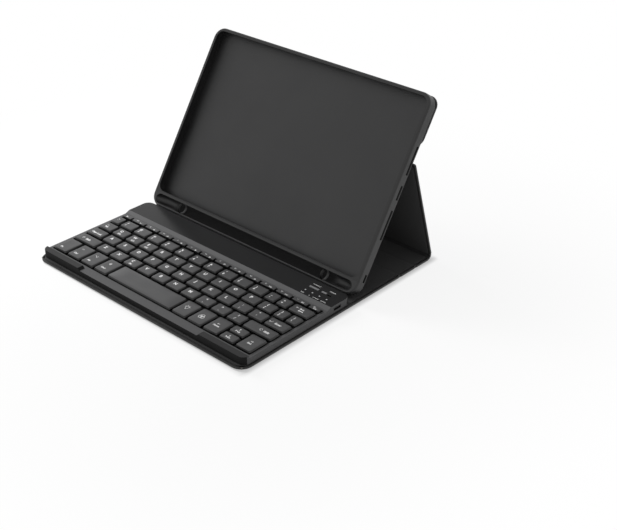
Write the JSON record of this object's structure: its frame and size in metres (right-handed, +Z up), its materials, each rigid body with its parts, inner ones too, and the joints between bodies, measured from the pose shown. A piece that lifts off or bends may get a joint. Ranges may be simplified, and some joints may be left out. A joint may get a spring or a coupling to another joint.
{
  "type": "tablet keyboard case",
  "caption": "Folding folio case for a slim tablet: soft lipped tray with a pen trough, leather-covered boards that fold into a stand, and a slim pull-off keyboard.",
  "frame": {"origin": "centre of the front cover's underside, on the desk", "axes": "+X along the width to the typist's right, +Y from the typist towards the stand, +Z up"},
  "size_m": [0.262, 0.2424, 0.1595],
  "materials": {
    "leather": "fine pebbled grain, semi-matte",
    "lining": "short soft nap, matt",
    "board": "raw pressed fibre board",
    "tray": "soft matt flexible plastic",
    "hoop": "soft matt ring",
    "deck": "fine spark-eroded matt plastic",
    "keys": "matt plastic with printed white legends",
    "black_plastic": "matt black plastic",
    "dome": "translucent soft rubber",
    "film": "clear printed film",
    "steel": "plain steel",
    "magnet": "nickel plated",
    "cell": "foil pouch",
    "circuit": "green solder resist",
    "chip": "moulded black resin",
    "lens": "milky light guide",
    "control": "matt plastic"
  },
  "bodies": {
    "cover": {"cover_leather": "leather", "cover_board": "board", "cover_lining": "lining", "cover_magnets": "magnet", "spine_fold": "leather"},
    "spine": {"spine_leather": "leather", "spine_board": "board", "spine_lining": "lining", "strip_fold": "leather"},
    "strip": {"strip_leather": "leather", "strip_board": "board", "strip_lining": "lining", "stand_fold": "leather"},
    "stand": {"stand_leather": "leather", "stand_board": "board", "stand_lining": "lining"},
    "foot": {"foot_rod": "steel"},
    "tray": {"tray_shell": "tray", "pen_hoops": "hoop", "flap_leather": "leather", "flap_board": "board", "hinge_strip": "leather"},
    "keyboard": {"keyboard_deck": "deck", "bottom_plate": "black_plastic", "case_screws": "steel", "membrane": "film", "key_guide_plate": "black_plastic", "keyboard_magnets": "magnet", "battery": "cell", "circuit_board": "circuit", "radio_chip": "chip", "charging_socket": "steel", "socket_tongue": "black_plastic", "indicator_lights": "lens", "indicator_lenses": "lens", "connect_switch": "chip", "power_switch": "chip", "function_domes": "dome", "number_domes": "dome", "upper_domes": "dome", "home_domes": "dome", "lower_domes": "dome", "modifier_domes": "dome", "space_domes": "dome", "arrow_domes": "dome"},
    "function_keys": {"function_keys": "keys"},
    "number_keys": {"number_keys": "keys"},
    "upper_keys": {"upper_keys": "keys"},
    "home_keys": {"home_keys": "keys"},
    "lower_keys": {"lower_keys": "keys"},
    "modifier_keys": {"modifier_keys": "keys"},
    "space_bar": {"space_bar": "keys"},
    "arrow_keys": {"arrow_keys": "keys"},
    "connect_button": {"connect_button": "control"},
    "power_slider": {"power_slider": "control"}
  },
  "joints": [
    {"name": "foot_slide", "type": "slide", "parent": "cover", "child": "foot", "axis": [0, 0.9533, 0.3022], "range_m": [0, 0.046]},
    {"name": "tray_tilt", "type": "hinge", "parent": "foot", "child": "tray", "pos_m": [0, 0.0443, 0.0048], "axis": [1, 0, 0], "range_deg": [0, 123.2]},
    {"name": "spine_turn", "type": "hinge", "parent": "cover", "child": "spine", "pos_m": [0, 0.09855, 0.0013], "axis": [1, 0, 0], "range_deg": [0, 90.2]},
    {"name": "strip_turn", "type": "hinge", "parent": "spine", "child": "strip", "pos_m": [0, 0.12055, 0.0013], "axis": [1, 0, 0], "range_deg": [0, 90.2]},
    {"name": "stand_turn", "type": "hinge", "parent": "strip", "child": "stand", "pos_m": [0, 0.14375, 0.0013], "axis": [1, 0, 0], "range_deg": [-108.1, 0]},
    {"name": "keyboard_pull", "type": "slide", "parent": "cover", "child": "keyboard", "axis": [0, -1, 0], "range_m": [0, 0.15]},
    {"name": "function_press", "type": "slide", "parent": "keyboard", "child": "function_keys", "axis": [0, 0, -1], "range_m": [0, 0.0012], "stiffness_N_per_m": 7000, "springref_m": -0.0004, "deforming": ["function_domes"]},
    {"name": "number_press", "type": "slide", "parent": "keyboard", "child": "number_keys", "axis": [0, 0, -1], "range_m": [0, 0.0012], "stiffness_N_per_m": 7000, "springref_m": -0.0004, "deforming": ["number_domes"]},
    {"name": "upper_press", "type": "slide", "parent": "keyboard", "child": "upper_keys", "axis": [0, 0, -1], "range_m": [0, 0.0012], "stiffness_N_per_m": 7000, "springref_m": -0.0004, "deforming": ["upper_domes"]},
    {"name": "home_press", "type": "slide", "parent": "keyboard", "child": "home_keys", "axis": [0, 0, -1], "range_m": [0, 0.0012], "stiffness_N_per_m": 6500, "springref_m": -0.0004, "deforming": ["home_domes"]},
    {"name": "lower_press", "type": "slide", "parent": "keyboard", "child": "lower_keys", "axis": [0, 0, -1], "range_m": [0, 0.0012], "stiffness_N_per_m": 6000, "springref_m": -0.0004, "deforming": ["lower_domes"]},
    {"name": "modifier_press", "type": "slide", "parent": "keyboard", "child": "modifier_keys", "axis": [0, 0, -1], "range_m": [0, 0.0012], "stiffness_N_per_m": 3000, "springref_m": -0.0004, "deforming": ["modifier_domes"]},
    {"name": "space_bar_press", "type": "slide", "parent": "keyboard", "child": "space_bar", "axis": [0, 0, -1], "range_m": [0, 0.0012], "stiffness_N_per_m": 500, "springref_m": -0.0004, "deforming": ["space_domes"]},
    {"name": "arrow_press", "type": "slide", "parent": "keyboard", "child": "arrow_keys", "axis": [0, 0, -1], "range_m": [0, 0.0012], "stiffness_N_per_m": 2000, "springref_m": -0.0004, "deforming": ["arrow_domes"]},
    {"name": "connect_press", "type": "slide", "parent": "keyboard", "child": "connect_button", "axis": [0, 0, -1], "range_m": [0, 0.0005], "stiffness_N_per_m": 800, "springref_m": -0.0003},
    {"name": "power_slide", "type": "slide", "parent": "keyboard", "child": "power_slider", "axis": [1, 0, 0], "range_m": [0, 0.0052]}
  ],
  "couplings": [
    {"joint": "tray_tilt", "follows": "foot_slide", "rad_per_m": 46.666},
    {"joint": "spine_turn", "follows": "foot_slide", "rad_per_m": 34.146},
    {"joint": "strip_turn", "follows": "foot_slide", "rad_per_m": 34.146},
    {"joint": "stand_turn", "follows": "foot_slide", "rad_per_m": -40.935}
  ]
}
